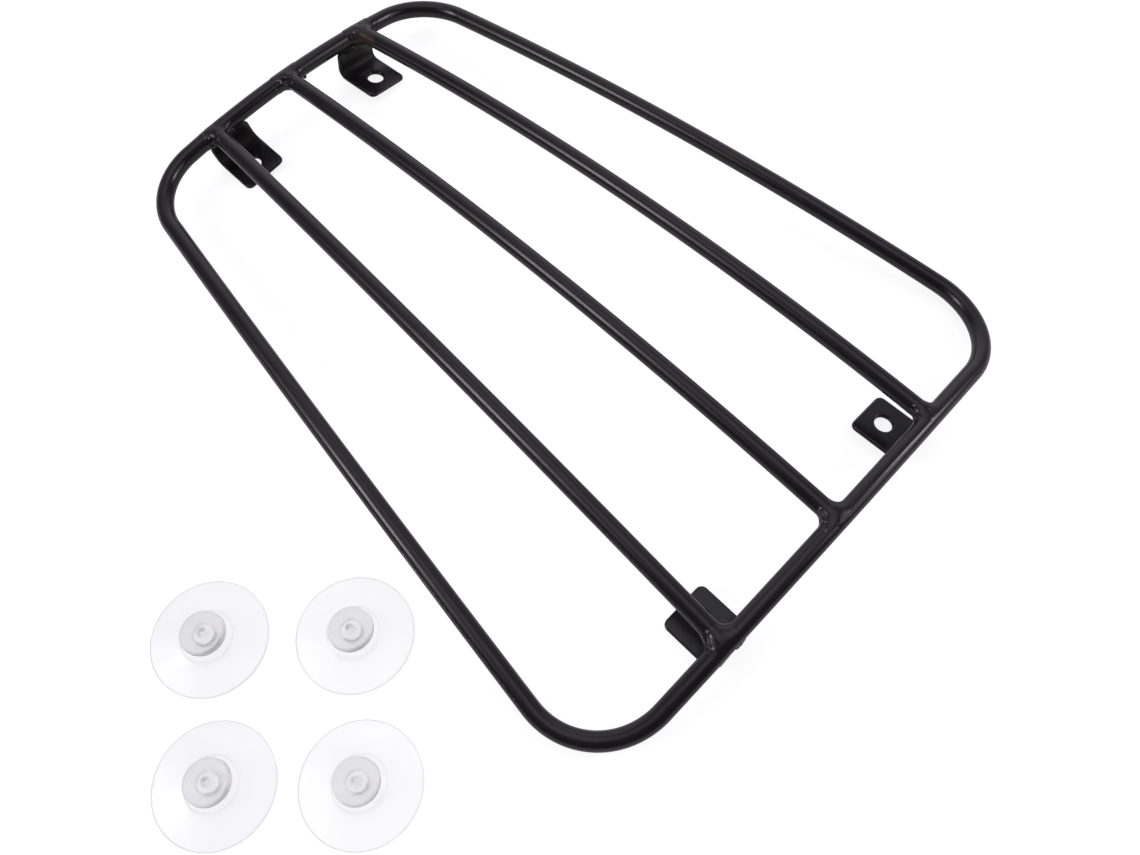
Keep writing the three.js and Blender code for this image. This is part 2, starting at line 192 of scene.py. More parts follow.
def powder_coat(name, rough=0.21, peel=0.007, lump=0.0, tint=None, bend=None):
    """Semi-gloss black coat: near-black with a trace of red, fine orange peel, faint cloudiness,
    pinhead dust under the coat, and patches rubbed a little duller."""
    mat = bpy.data.materials.new(name)
    nt, bsdf, out = nodes_of(mat)
    tc = nt.nodes.new("ShaderNodeTexCoord")
    obj = tc.outputs["Object"]
    # colour: faint cloudy variation between two near-blacks
    cloud = noise(nt, obj, 55.0, 4.0, 0.55)
    ramp = nt.nodes.new("ShaderNodeValToRGB")
    ramp.color_ramp.elements[0].position = 0.32
    ramp.color_ramp.elements[0].color = (0.0125, 0.0108, 0.0120, 1)
    ramp.color_ramp.elements[1].position = 0.72
    ramp.color_ramp.elements[1].color = (0.0180, 0.0160, 0.0174, 1)
    nt.links.new(cloud, ramp.inputs[0])
    colour = ramp.outputs[0]
    # pinhead specks of dust held in the coat
    speck = nt.nodes.new("ShaderNodeTexVoronoi")
    speck.inputs["Scale"].default_value = 420.0
    nt.links.new(obj, speck.inputs["Vector"])
    sp = map_range(nt, speck.outputs["Distance"], 0.05, 0.11, 1.0, 0.0)
    mixc = nt.nodes.new("ShaderNodeMix")
    mixc.data_type = "RGBA"
    nt.links.new(sp, mixc.inputs[0])
    nt.links.new(colour, mixc.inputs[6])
    mixc.inputs[7].default_value = (0.032, 0.030, 0.032, 1)
    colour = mixc.outputs[2]
    if tint is not None:
        # a brown patch on the coat round one weld
        centre, radius, tone = tint
        geo = nt.nodes.new("ShaderNodeVectorMath")
        geo.operation = "DISTANCE"
        nt.links.new(obj, geo.inputs[0])
        geo.inputs[1].default_value = centre
        wob = noise(nt, obj, 240.0, 3.0, 0.6)
        add = nt.nodes.new("ShaderNodeMath")
        add.operation = "MULTIPLY_ADD"
        nt.links.new(wob, add.inputs[0])
        add.inputs[1].default_value = 0.007
        nt.links.new(geo.outputs["Value"], add.inputs[2])
        m = map_range(nt, add.outputs[0], radius * 0.55 + 0.0035, radius + 0.0035, 1.0, 0.0)
        mixt = nt.nodes.new("ShaderNodeMix")
        mixt.data_type = "RGBA"
        nt.links.new(m, mixt.inputs[0])
        nt.links.new(colour, mixt.inputs[6])
        mixt.inputs[7].default_value = tone
        colour = mixt.outputs[2]
    nt.links.new(colour, bsdf.inputs["Base Color"])
    # roughness: slow patches and a little fine scatter
    r = noise(nt, obj, 90.0, 3.0, 0.6)
    rr = map_range(nt, r, 0.3, 0.7, rough - 0.03, rough + 0.05)
    if tint is not None:
        # the brown patch is duller
        burnt = nt.nodes.new("ShaderNodeMath")
        burnt.operation = "MULTIPLY_ADD"
        nt.links.new(m, burnt.inputs[0])
        burnt.inputs[1].default_value = 0.26
        nt.links.new(rr, burnt.inputs[2])
        rr = burnt.outputs[0]
    if bend is not None:
        # the coat lies thicker and duller in the hollow of the bend
        point, axis = bend
        sub = nt.nodes.new("ShaderNodeVectorMath")
        sub.operation = "SUBTRACT"
        nt.links.new(obj, sub.inputs[0])
        sub.inputs[1].default_value = point
        cross = nt.nodes.new("ShaderNodeVectorMath")
        cross.operation = "CROSS_PRODUCT"
        nt.links.new(sub.outputs[0], cross.inputs[0])
        cross.inputs[1].default_value = axis
        size = nt.nodes.new("ShaderNodeVectorMath")
        size.operation = "LENGTH"
        nt.links.new(cross.outputs[0], size.inputs[0])
        dull = map_range(nt, size.outputs["Value"], (BEND_R + 0.1) * MM, (BEND_R + 1.4) * MM, 0.34, 0.0)
        more = nt.nodes.new("ShaderNodeMath")
        more.operation = "ADD"
        nt.links.new(rr, more.inputs[0])
        nt.links.new(dull, more.inputs[1])
        rr = more.outputs[0]
    nt.links.new(rr, bsdf.inputs["Roughness"])
    bsdf.inputs["IOR"].default_value = 1.5
    # orange peel: two scales
    peel1 = noise(nt, obj, 420.0, 2.0, 0.5)
    peel2 = noise(nt, obj, 1500.0, 2.0, 0.5)
    b1 = nt.nodes.new("ShaderNodeBump")
    b1.inputs["Strength"].default_value = 1.0
    b1.inputs["Distance"].default_value = peel * MM
    nt.links.new(peel1, b1.inputs["Height"])
    b2 = nt.nodes.new("ShaderNodeBump")
    b2.inputs["Strength"].default_value = 1.0
    b2.inputs["Distance"].default_value = peel * 0.25 * MM
    nt.links.new(peel2, b2.inputs["Height"])
    nt.links.new(b1.outputs[0], b2.inputs["Normal"])
    last = b2
    if lump > 0:
        lumps = noise(nt, obj, 320.0, 2.0, 0.5, 0.4)
        b3 = nt.nodes.new("ShaderNodeBump")
        b3.inputs["Strength"].default_value = 1.0
        b3.inputs["Distance"].default_value = lump * MM
        nt.links.new(lumps, b3.inputs["Height"])
        nt.links.new(last.outputs[0], b3.inputs["Normal"])
        last = b3
    nt.links.new(last.outputs[0], bsdf.inputs["Normal"])
    return mat


def clear_vinyl(name, tint, haze, centre):
    """Clear soft vinyl: a smooth thin skirt, and a hazier, slightly frosted neck and head, with painted shade on the
    rim's edge, the boss's edge and the core.
    """
    mat = bpy.data.materials.new(name)
    nt, bsdf, out = nodes_of(mat)
    tc = nt.nodes.new("ShaderNodeTexCoord")
    obj = tc.outputs["Object"]
    sep = nt.nodes.new("ShaderNodeSeparateXYZ")
    nt.links.new(obj, sep.inputs[0])
    high = map_range(nt, sep.outputs["Z"], 0.0038, 0.0052, 0.0, 1.0)
    cloud = noise(nt, obj, 70.0, 3.0, 0.5)
    ramp = nt.nodes.new("ShaderNodeValToRGB")
    ramp.color_ramp.elements[0].position = 0.25
    ramp.color_ramp.elements[0].color = (tint[0] * 0.985, tint[1] * 0.985, tint[2] * 0.99, 1)
    ramp.color_ramp.elements[1].position = 0.75
    ramp.color_ramp.elements[1].color = (tint[0], tint[1], tint[2], 1)
    nt.links.new(cloud, ramp.inputs[0])
    # the head is cloudier than the skirt; painted shade greys a thin line on the rim's thick edge, a thin ring at the
    # boss's edge, and the core where the neck shows through the head
    flat = nt.nodes.new("ShaderNodeVectorMath")
    flat.operation = "MULTIPLY"
    nt.links.new(obj, flat.inputs[0])
    flat.inputs[1].default_value = (1.0, 1.0, 0.0)
    span = nt.nodes.new("ShaderNodeVectorMath")
    span.operation = "DISTANCE"
    nt.links.new(flat.outputs[0], span.inputs[0])
    span.inputs[1].default_value = (centre[0] * MM, centre[1] * MM, 0.0)
    rim_edge_painted_shade = map_range(nt, span.outputs["Value"], 22.95 * MM, 23.2 * MM, 0.0, 1.0)
    off = nt.nodes.new("ShaderNodeMath")
    off.operation = "SUBTRACT"
    nt.links.new(span.outputs["Value"], off.inputs[0])
    off.inputs[1].default_value = 10.3 * MM
    size = nt.nodes.new("ShaderNodeMath")
    size.operation = "ABSOLUTE"
    nt.links.new(off.outputs[0], size.inputs[0])
    boss_edge_painted_shade = map_range(nt, size.outputs[0], 0.12 * MM, 0.36 * MM, 1.0, 0.0)
    core_painted_shade = map_range(nt, span.outputs["Value"], 2.0 * MM, 4.6 * MM, 1.0, 0.0)
    colour = ramp.outputs[0]
    # the boss, core and rim tones are painted shade; only the head's tone is its cloudier vinyl
    for amount, tone in ((high, (0.965, 0.965, 0.972, 1)), (boss_edge_painted_shade, (0.80, 0.80, 0.82, 1)), (core_painted_shade, (0.80, 0.80, 0.81, 1)), (rim_edge_painted_shade, (0.70, 0.70, 0.735, 1))):
        mixc = nt.nodes.new("ShaderNodeMix")
        mixc.data_type = "RGBA"
        nt.links.new(amount, mixc.inputs[0])
        nt.links.new(colour, mixc.inputs[6])
        mixc.inputs[7].default_value = tone
        colour = mixc.outputs[2]
    nt.links.new(colour, bsdf.inputs["Base Color"])
    nt.links.new(map_range(nt, high, 0.0, 1.0, 0.985, 1.0 - haze), bsdf.inputs["Transmission Weight"])
    bsdf.inputs["IOR"].default_value = 1.5
    fine = map_range(nt, noise(nt, obj, 160.0, 3.0, 0.6), 0.3, 0.7, 0.0, 0.05)
    base = map_range(nt, high, 0.0, 1.0, 0.12, 0.33)
    add = nt.nodes.new("ShaderNodeMath")
    add.operation = "ADD"
    nt.links.new(fine, add.inputs[0])
    nt.links.new(base, add.inputs[1])
    nt.links.new(add.outputs[0], bsdf.inputs["Roughness"])
    b = nt.nodes.new("ShaderNodeBump")
    b.inputs["Strength"].default_value = 1.0
    b.inputs["Distance"].default_value = 0.005 * MM
    nt.links.new(noise(nt, obj, 200.0, 2.0, 0.5), b.inputs["Height"])
    nt.links.new(b.outputs[0], bsdf.inputs["Normal"])
    return mat


BROWN = ((41.5, 159.5, 19.5), 0.0080, (0.046, 0.022, 0.016, 1))   # brown patch on the coat at one weld
BROWN_TINT = (tuple((c + o) * MM for c, o in zip(BROWN[0], (RACK_X, RACK_Y, 0.0))), BROWN[1], BROWN[2])
COAT = powder_coat("black_powder_coat")
COAT_BROWNED_BAR = powder_coat("black_powder_coat_bar_browned", tint=BROWN_TINT)
COAT_WELD = powder_coat("black_powder_coat_over_weld", rough=0.18, peel=0.008, lump=0.008)
# the spatter's pale grey is a painted glint: the balls look bright from every side, standing in for highlights on the
# coat
SPATTER_PAINTED_GLINT = bpy.data.materials.new("spatter_painted_glint")
_nt, _bsdf, _out = nodes_of(SPATTER_PAINTED_GLINT)
_bsdf.inputs["Base Color"].default_value = (0.34, 0.33, 0.33, 1)
_bsdf.inputs["Roughness"].default_value = 0.32
COAT_BROWNED = powder_coat("black_powder_coat_browned", rough=0.20, peel=0.008, lump=0.008, tint=BROWN_TINT)


# --------------------------------------------------------------------------
# bars: swept with 56 sides
# --------------------------------------------------------------------------
SIDES = 56


def sweep(points, closed):
    """A tube of radius BAR_R along points, as (verts, faces). The ends of an open tube are domed."""
    p = np.array(points, float)
    n = len(p)
    if closed:
        t = np.roll(p, -1, 0) - np.roll(p, 1, 0)
    else:
        t = np.gradient(p, axis=0)
    t /= np.linalg.norm(t, axis=1)[:, None]
    up = np.array([0.0, 0.0, 1.0])
    side = np.cross(t, up)
    side /= np.linalg.norm(side, axis=1)[:, None]
    top = np.cross(side, t)
    a = np.linspace(0, 2 * math.pi, SIDES, endpoint=False)
    ring = np.cos(a)[None, :, None] * side[:, None, :] + np.sin(a)[None, :, None] * top[:, None, :]
    v = (p[:, None, :] + BAR_R * ring).reshape(-1, 3)
    faces = []
    last = n if closed else n - 1
    for i in range(last):
        j = (i + 1) % n
        for k in range(SIDES):
            m = (k + 1) % SIDES
            faces.append((i * SIDES + k, j * SIDES + k, j * SIDES + m, i * SIDES + m))
    if not closed:
        # domed ends inside the joint
        verts = [v]
        base = len(v)
        for end, sgn in ((0, -1.0), (n - 1, 1.0)):
            prev = [end * SIDES + k for k in range(SIDES)]
            for lat in (30, 60):
                r = BAR_R * math.cos(math.radians(lat))
                off = sgn * BAR_R * 0.4 * math.sin(math.radians(lat))
                c = p[end] + t[end] * off
                verts.append(c + r * ring[end])
                cur = [base + k for k in range(SIDES)]
                base += SIDES
                for k in range(SIDES):
                    m = (k + 1) % SIDES
                    q = (prev[k], prev[m], cur[m], cur[k])
                    faces.append(q if sgn < 0 else q[::-1])
                prev = cur
            verts.append((p[end] + t[end] * sgn * BAR_R * 0.4)[None])
            for k in range(SIDES):
                m = (k + 1) % SIDES
                q = (prev[k], prev[m], base)
                faces.append(q if sgn < 0 else q[::-1])
            base += 1
        v = np.concatenate(verts)
    return v, faces


def loop_plan():
    """Plan points of the loop's centreline, denser in the bends."""
    c = np.array([[-NARROW_HALF, LENGTH / 2], [NARROW_HALF, LENGTH / 2],
                  [WIDE_HALF, -LENGTH / 2], [-WIDE_HALF, -LENGTH / 2]])
    radius = [R_NARROW, R_NARROW, R_WIDE, R_WIDE]
    bow = [BOW_NARROW, BOW_RIGHT, BOW_WIDE, BOW_LEFT]
    bends = []
    for i in range(4):
        u = c[i - 1] - c[i]; u /= np.linalg.norm(u)
        v = c[(i + 1) % 4] - c[i]; v /= np.linalg.norm(v)
        ang = math.acos(float(u @ v))
        back = radius[i] / math.tan(ang / 2)
        mid = (u + v) / np.linalg.norm(u + v)
        bends.append((c[i] + u * back, c[i] + v * back, c[i] + mid * radius[i] / math.sin(ang / 2)))
    out = []
    for i in range(4):
        s, e, m = bends[i]
        a0 = math.atan2(s[1] - m[1], s[0] - m[0])
        a1 = math.atan2(e[1] - m[1], e[0] - m[0])
        da = (a1 - a0 + math.pi) % (2 * math.pi) - math.pi
        for k in range(44):
            a = a0 + da * k / 44
            out.append((m[0] + radius[i] * math.cos(a), m[1] + radius[i] * math.sin(a)))
        s0, s1 = e, bends[(i + 1) % 4][0]
        d = s1 - s0
        ln = np.linalg.norm(d); d /= ln
        nrm = np.array([-d[1], d[0]])
        if nrm @ (s0 + s1) < 0:
            nrm = -nrm
        steps = int(round(ln / 2.6))
        for k in range(steps):
            q = k / steps
            out.append(tuple(s0 + d * q * ln + nrm * 4 * bow[i] * q * (1 - q)))
    return np.array(out)


def end_y(end, x):
    """y of the loop's centreline across an end, at x."""
    half = NARROW_HALF if end > 0 else WIDE_HALF
    r = R_NARROW if end > 0 else R_WIDE
    lean = math.atan((WIDE_HALF - NARROW_HALF) / LENGTH) * (-1 if end > 0 else 1)
    flat = half - r / math.tan((math.pi / 2 - lean) / 2)
    s = (x + flat) / (2 * flat)
    bow = BOW_NARROW if end > 0 else BOW_WIDE
    return end * (LENGTH / 2 + 4 * bow * s * (1 - s))


def rail_xy(rail, s):
    _, side, a, b, bow = rail
    x0, x1 = side * a, side * b
    dx, dy = x1 - x0, -LENGTH
    ln = math.hypot(dx, dy)
    nx, ny = dy / ln, -dx / ln
    if nx * (side or 1) < 0:
        nx, ny = -nx, -ny
    off = 4 * bow * s * (1 - s)
    return x0 + dx * s + nx * off, LENGTH / 2 + dy * s + ny * off


def rail_x_at(rail, y):
    s = (LENGTH / 2 - y) / LENGTH
    return rail_xy(rail, s)[0]


plan = loop_plan()
loop_pts = np.column_stack([plan, bar_z(plan[:, 0], plan[:, 1])])
v, f = sweep(loop_pts, True)
new_mesh("loop_bar", v, f, COAT, "rack", ["outer_loop"])

for rail in RAILS:
    inset = 1.2 / LENGTH
    s = np.linspace(inset, 1 - inset, 132)
    xy = np.array([rail_xy(rail, q) for q in s])
    pts = np.column_stack([xy, bar_z(xy[:, 0], xy[:, 1])])
    v, f = sweep(pts, False)
    coat = COAT_BROWNED_BAR if rail[0] == "right" else COAT
    new_mesh("bar_" + rail[0], v, f, coat, "rack", ["rail_" + rail[0]])


# --------------------------------------------------------------------------
# bent strip feet: a flat rounded outline with its hole, rolled edges, bent
# --------------------------------------------------------------------------
EDGE = 0.85                       # radius that the coat and tumbling leave on every edge
S_FOOT = FOOT_L - STRIP_T - BEND_R
R_MID = BEND_R + STRIP_T / 2
S_BEND = S_FOOT + R_MID * math.pi / 2


def fold(x, s, n):
    """Flat strip coordinates (across, along, off the middle plane) to the bent strip."""
    if s <= S_FOOT:
        return (x, s, -STRIP_T / 2 + n)
    if s <= S_BEND:
        a = (s - S_FOOT) / R_MID
        return (x, S_FOOT + (R_MID - n) * math.sin(a), BEND_R - (R_MID - n) * math.cos(a))
    return (x, S_FOOT + R_MID - n, BEND_R + (s - S_BEND))


def ray_to_outline(dx, ds, inset, off):
    """Distance from the hole's centre, off the middle by off, along a direction to the foot
    end's outline, inset."""
    h = STRIP_W / 2 - inset
    r = FOOT_CORNER_R - inset
    best = 1e9
    if dx > 1e-9:
        best = min(best, (h - off) / dx)
    if dx < -1e-9:
        best = min(best, (-h - off) / dx)
    if ds < -1e-9:
        best = min(best, (HOLE_IN - inset) / -ds)
    x, s = off + dx * best, HOLE_IN + ds * best
    # corner arcs
    cx, cs = h - r, inset + r
    if abs(x) > cx and s < cs:
        sx = cx if x > 0 else -cx
        bx, bs = off - sx, HOLE_IN - cs
        b = dx * bx + ds * bs
        c = bx * bx + bs * bs - r * r
        best = -b + math.sqrt(max(b * b - c, 0))
    return best


S_SPLIT = 18.3                    # where the ring mesh round the hole meets the plain grid


def strip_mesh(web, off):
    """(verts, faces) of the bent strip in its local frame, its web reaching height web, its hole
    off the middle by off."""
    S_END = S_BEND + (web - BEND_R)
    # ray angles: the far side hits the line s = S_SPLIT, the rest hit the outline
    up = S_SPLIT - HOLE_IN
    a_right = math.atan2(up, STRIP_W / 2 - off)
    a_left = math.atan2(up, -STRIP_W / 2 - off)
    far_n, near_n = 22, 62
    # angle measured from +x towards +s; evenly spaced x along the split line
    xs = np.linspace(STRIP_W / 2, -STRIP_W / 2, far_n + 1)
    far = [math.atan2(up, x - off) for x in xs]
    near = list(np.linspace(a_left, 2 * math.pi + a_right, near_n + 1))[1:-1]
    angles = far + near
    n_ray = len(angles)
    verts, faces, index = [], [], {}

    def vert(key, x, s, n):
        if key not in index:
            index[key] = len(verts)
            verts.append(fold(x, s, n))
        return index[key]

    # edge levels: (inset, height) from the top face round to the bottom face
    levels = []
    for k in range(7):
        a = k / 6 * math.pi / 2
        levels.append((EDGE * (1 - math.sin(a)), STRIP_T / 2 - EDGE * (1 - math.cos(a))))
    levels += [(i, -n) for i, n in reversed(levels)]
    n_lev = len(levels)

    def half_width(s, inset):
        h = STRIP_W / 2 - inset
        r = WEB_CORNER_R - inset
        t = S_END - inset
        if s > t - r:
            q = min(s - (t - r), r)
            return h - r + math.sqrt(max(r * r - q * q, 0))
        return h

    # rows of the plain part; the last one is the web's top edge
    rows = list(np.linspace(S_SPLIT, S_FOOT, 3)) + [S_FOOT + R_MID * a for a in np.linspace(0, math.pi / 2, 11)[1:]]
    straight = S_END - WEB_CORNER_R
    rows += list(np.linspace(S_BEND, straight, 7)[1:])
    n_fix = len(rows)
    corner = [math.radians(a) for a in (15, 30, 45, 60, 75, 90)]
    n_rows = n_fix + len(corner)

    def row_at(i, inset):
        if i < n_fix:
            return rows[i]
        return S_END - WEB_CORNER_R + (WEB_CORNER_R - inset) * math.sin(corner[i - n_fix])

    def row_half(i, inset):
        if i < n_fix:
            return STRIP_W / 2 - inset
        return STRIP_W / 2 - WEB_CORNER_R + (WEB_CORNER_R - inset) * math.cos(corner[i - n_fix])

    rings = 7
    for li in (0, n_lev - 1):
        inset, n = levels[li]
        face_up = li == 0
        # ring mesh round the hole
        for k in range(n_ray):
            k2 = (k + 1) % n_ray

            def ring_pt(kk, j):
                a = angles[kk]
                dx, ds = math.cos(a), math.sin(a)
                r0 = HOLE_R + EDGE
                if kk <= far_n:
                    r1 = up / ds
                    # the split line's own ends lie on the inset sides
                    xx = off + dx * r1
                    lim = STRIP_W / 2 - inset
                    if abs(xx) > lim:
                        xx = math.copysign(lim, xx)
                    px, ps = xx, S_SPLIT
                else:
                    r1 = ray_to_outline(dx, ds, inset, off)
                    px, ps = off + dx * r1, HOLE_IN + ds * r1
                if kk in (0, far_n):
                    px = math.copysign(STRIP_W / 2 - inset, px)
                q = j / rings
                q = q ** 1.15
                hx, hs = off + dx * r0, HOLE_IN + ds * r0
                return vert(("r", li, kk, j), hx + (px - hx) * q, hs + (ps - hs) * q, n)

            for j in range(rings):
                quad = (ring_pt(k, j), ring_pt(k, j + 1), ring_pt(k2, j + 1), ring_pt(k2, j))
                faces.append(quad if face_up else quad[::-1])
        # plain grid; its first row is the split line's ring points
        def grid_pt(i, c):
            if i == 0:
                return index[("r", li, c, rings)]
            hw = row_half(i, inset)
            x = (1 - 2 * c / far_n) * hw
            return vert(("g", li, i, c), x, row_at(i, inset), n)

        for i in range(n_rows - 1):
            for c in range(far_n):
                quad = (grid_pt(i, c), grid_pt(i + 1, c), grid_pt(i + 1, c + 1), grid_pt(i, c + 1))
                faces.append(quad if face_up else quad[::-1])

    # the outer boundary as one loop of stations, walked the same way at every level
    stations = [("ray", k) for k in range(far_n, n_ray)] + [("ray", 0)]
    stations += [("side", i, 0) for i in range(1, n_rows)]
    stations += [("side", n_rows - 1, c) for c in range(1, far_n + 1)]
    stations += [("side", i, far_n) for i in range(n_rows - 2, 0, -1)]

    def edge_pt(st, li):
        inset, n = levels[li]
        if li in (0, n_lev - 1):
            if st[0] == "ray":
                return index[("r", li, st[1], rings)]
            return index[("g", li, st[1], st[2])]
        if st[0] == "ray":
            k = st[1]
            if k in (0, far_n):
                sx = 1 if k == 0 else -1
                return vert(("e", li) + st, sx * (STRIP_W / 2 - inset), S_SPLIT, n)
            a = angles[k]
            r = ray_to_outline(math.cos(a), math.sin(a), inset, off)
            return vert(("e", li) + st, off + math.cos(a) * r, HOLE_IN + math.sin(a) * r, n)
        i, c = st[1], st[2]
        hw = row_half(i, inset)
        return vert(("e", li) + st, (1 - 2 * c / far_n) * hw, row_at(i, inset), n)

    for q in range(len(stations)):
        a, b = stations[q], stations[(q + 1) % len(stations)]
        for li in range(n_lev - 1):
            faces.append((edge_pt(a, li), edge_pt(a, li + 1), edge_pt(b, li + 1), edge_pt(b, li)))

    # the hole's wall
    def hole_pt(k, li):
        inset, n = levels[li]
        if li in (0, n_lev - 1):
            return index[("r", li, k, 0)]
        a = angles[k]
        r = HOLE_R + inset
        return vert(("h", li, k), off + math.cos(a) * r, HOLE_IN + math.sin(a) * r, n)

    for k in range(n_ray):
        k2 = (k + 1) % n_ray
        for li in range(n_lev - 1):
            faces.append((hole_pt(k, li), hole_pt(k2, li), hole_pt(k2, li + 1), hole_pt(k, li + 1)))
    return np.array(verts), faces


def bracket_matrix(b):
    _, side, end, x, inboard, roll, turn, _, _ = b
    r = math.radians(roll)
    z = STRIP_T * math.cos(r) + STRIP_W / 2 * math.sin(r)
    m = Matrix.Translation((side * x, end * inboard, z)) @ Matrix.Rotation(math.radians(turn), 4, "Z") @ Matrix.Rotation(side * r, 4, "Y")
    if end < 0:
        m = m @ Matrix.Rotation(math.pi, 4, "Z")
    return np.array(m)


for b in BRACKETS:
    strip_v, strip_f = strip_mesh(b[7], b[8])
    m = bracket_matrix(b)
    v = strip_v @ m[:3, :3].T + m[:3, 3]
    hollow = m[:3, :3] @ np.array([0.0, S_FOOT, BEND_R]) + m[:3, 3] + np.array([RACK_X, RACK_Y, 0.0])
    coat = powder_coat("black_powder_coat_foot_" + b[0], rough=0.22, peel=0.009,
                       bend=([float(c) * MM for c in hollow], [float(c) for c in m[:3, 0]]))
    new_mesh("foot_" + b[0], v, strip_f, coat, "rack", ["bracket_" + b[0]])


# --------------------------------------------------------------------------
# welds: each bead is the surface of a distance field that fillets the bars
# and the strip into each other, with lumps, meshed and drawn onto the field
# --------------------------------------------------------------------------
def curve_distance(p, centre, t0, lo, hi):
    """Distance from points to the curve centre(t), starting the search at t0."""
    t = t0.copy()
    for _ in range(3):
        c = centre(t)
        d = (centre(t + 0.05) - centre(t - 0.05)) / 0.1
        t = np.clip(t + np.sum((p - c) * d, -1) / np.sum(d * d, -1), lo, hi)
    return np.linalg.norm(p - centre(t), axis=-1)


def loop_end_curve(end):
    def centre(t):
        half = NARROW_HALF if end > 0 else WIDE_HALF
        r = R_NARROW if end > 0 else R_WIDE
        lean = math.atan((WIDE_HALF - NARROW_HALF) / LENGTH) * (-1 if end > 0 else 1)
        flat = half - r / math.tan((math.pi / 2 - lean) / 2)
        s = (t + flat) / (2 * flat)
        bow = BOW_NARROW if end > 0 else BOW_WIDE
        y = end * (LENGTH / 2 + 4 * bow * s * (1 - s))
        return np.stack([t, y, bar_z(t, y)], -1)
    return centre


def rail_curve(rail):
    _, side, a, b, bow = rail

    def centre(t):
        s = (LENGTH / 2 - t) / LENGTH
        x0, x1 = side * a, side * b
        x = x0 + (x1 - x0) * s + (side or 1) * 4 * bow * s * (1 - s)
        return np.stack([x, t, bar_z(x, t)], -1)
    return centre


def strip_distance(p, m, web):
    """Distance to a bent strip placed by matrix m."""
    S_END = S_BEND + (web - BEND_R)
    q = (p - m[:3, 3]) @ m[:3, :3]
    x, y, z = q[..., 0], q[..., 1], q[..., 2]
    ang = np.arctan2(y - S_FOOT, BEND_R - z)
    rad = np.hypot(y - S_FOOT, BEND_R - z)
    foot = (y < S_FOOT) & (z < BEND_R)
    web = (z >= BEND_R)
    s = np.where(web, S_BEND + (z - BEND_R), np.where(foot, y, S_FOOT + R_MID * ang))
    n = np.where(web, S_FOOT + R_MID - y, np.where(foot, z + STRIP_T / 2, R_MID - rad))
    hw, hs = STRIP_W / 2, S_END / 2
    r = WEB_CORNER_R
    dx = np.abs(x) - (hw - r)
    ds = np.abs(s - hs) - (hs - r)
    d2 = np.minimum(np.maximum(dx, ds), 0) + np.hypot(np.maximum(dx, 0), np.maximum(ds, 0)) - r
    w1, w2 = d2 + EDGE, np.abs(n) - STRIP_T / 2 + EDGE
    return np.minimum(np.maximum(w1, w2), 0) + np.hypot(np.maximum(w1, 0), np.maximum(w2, 0)) - EDGE


def fillet(a, b, r):
    """Union of two fields with a round concave fillet of radius r (an array or a number)."""
    ua, ub = np.maximum(r - a, 0), np.maximum(r - b, 0)
    return np.maximum(r, np.minimum(a, b)) - np.hypot(ua, ub)


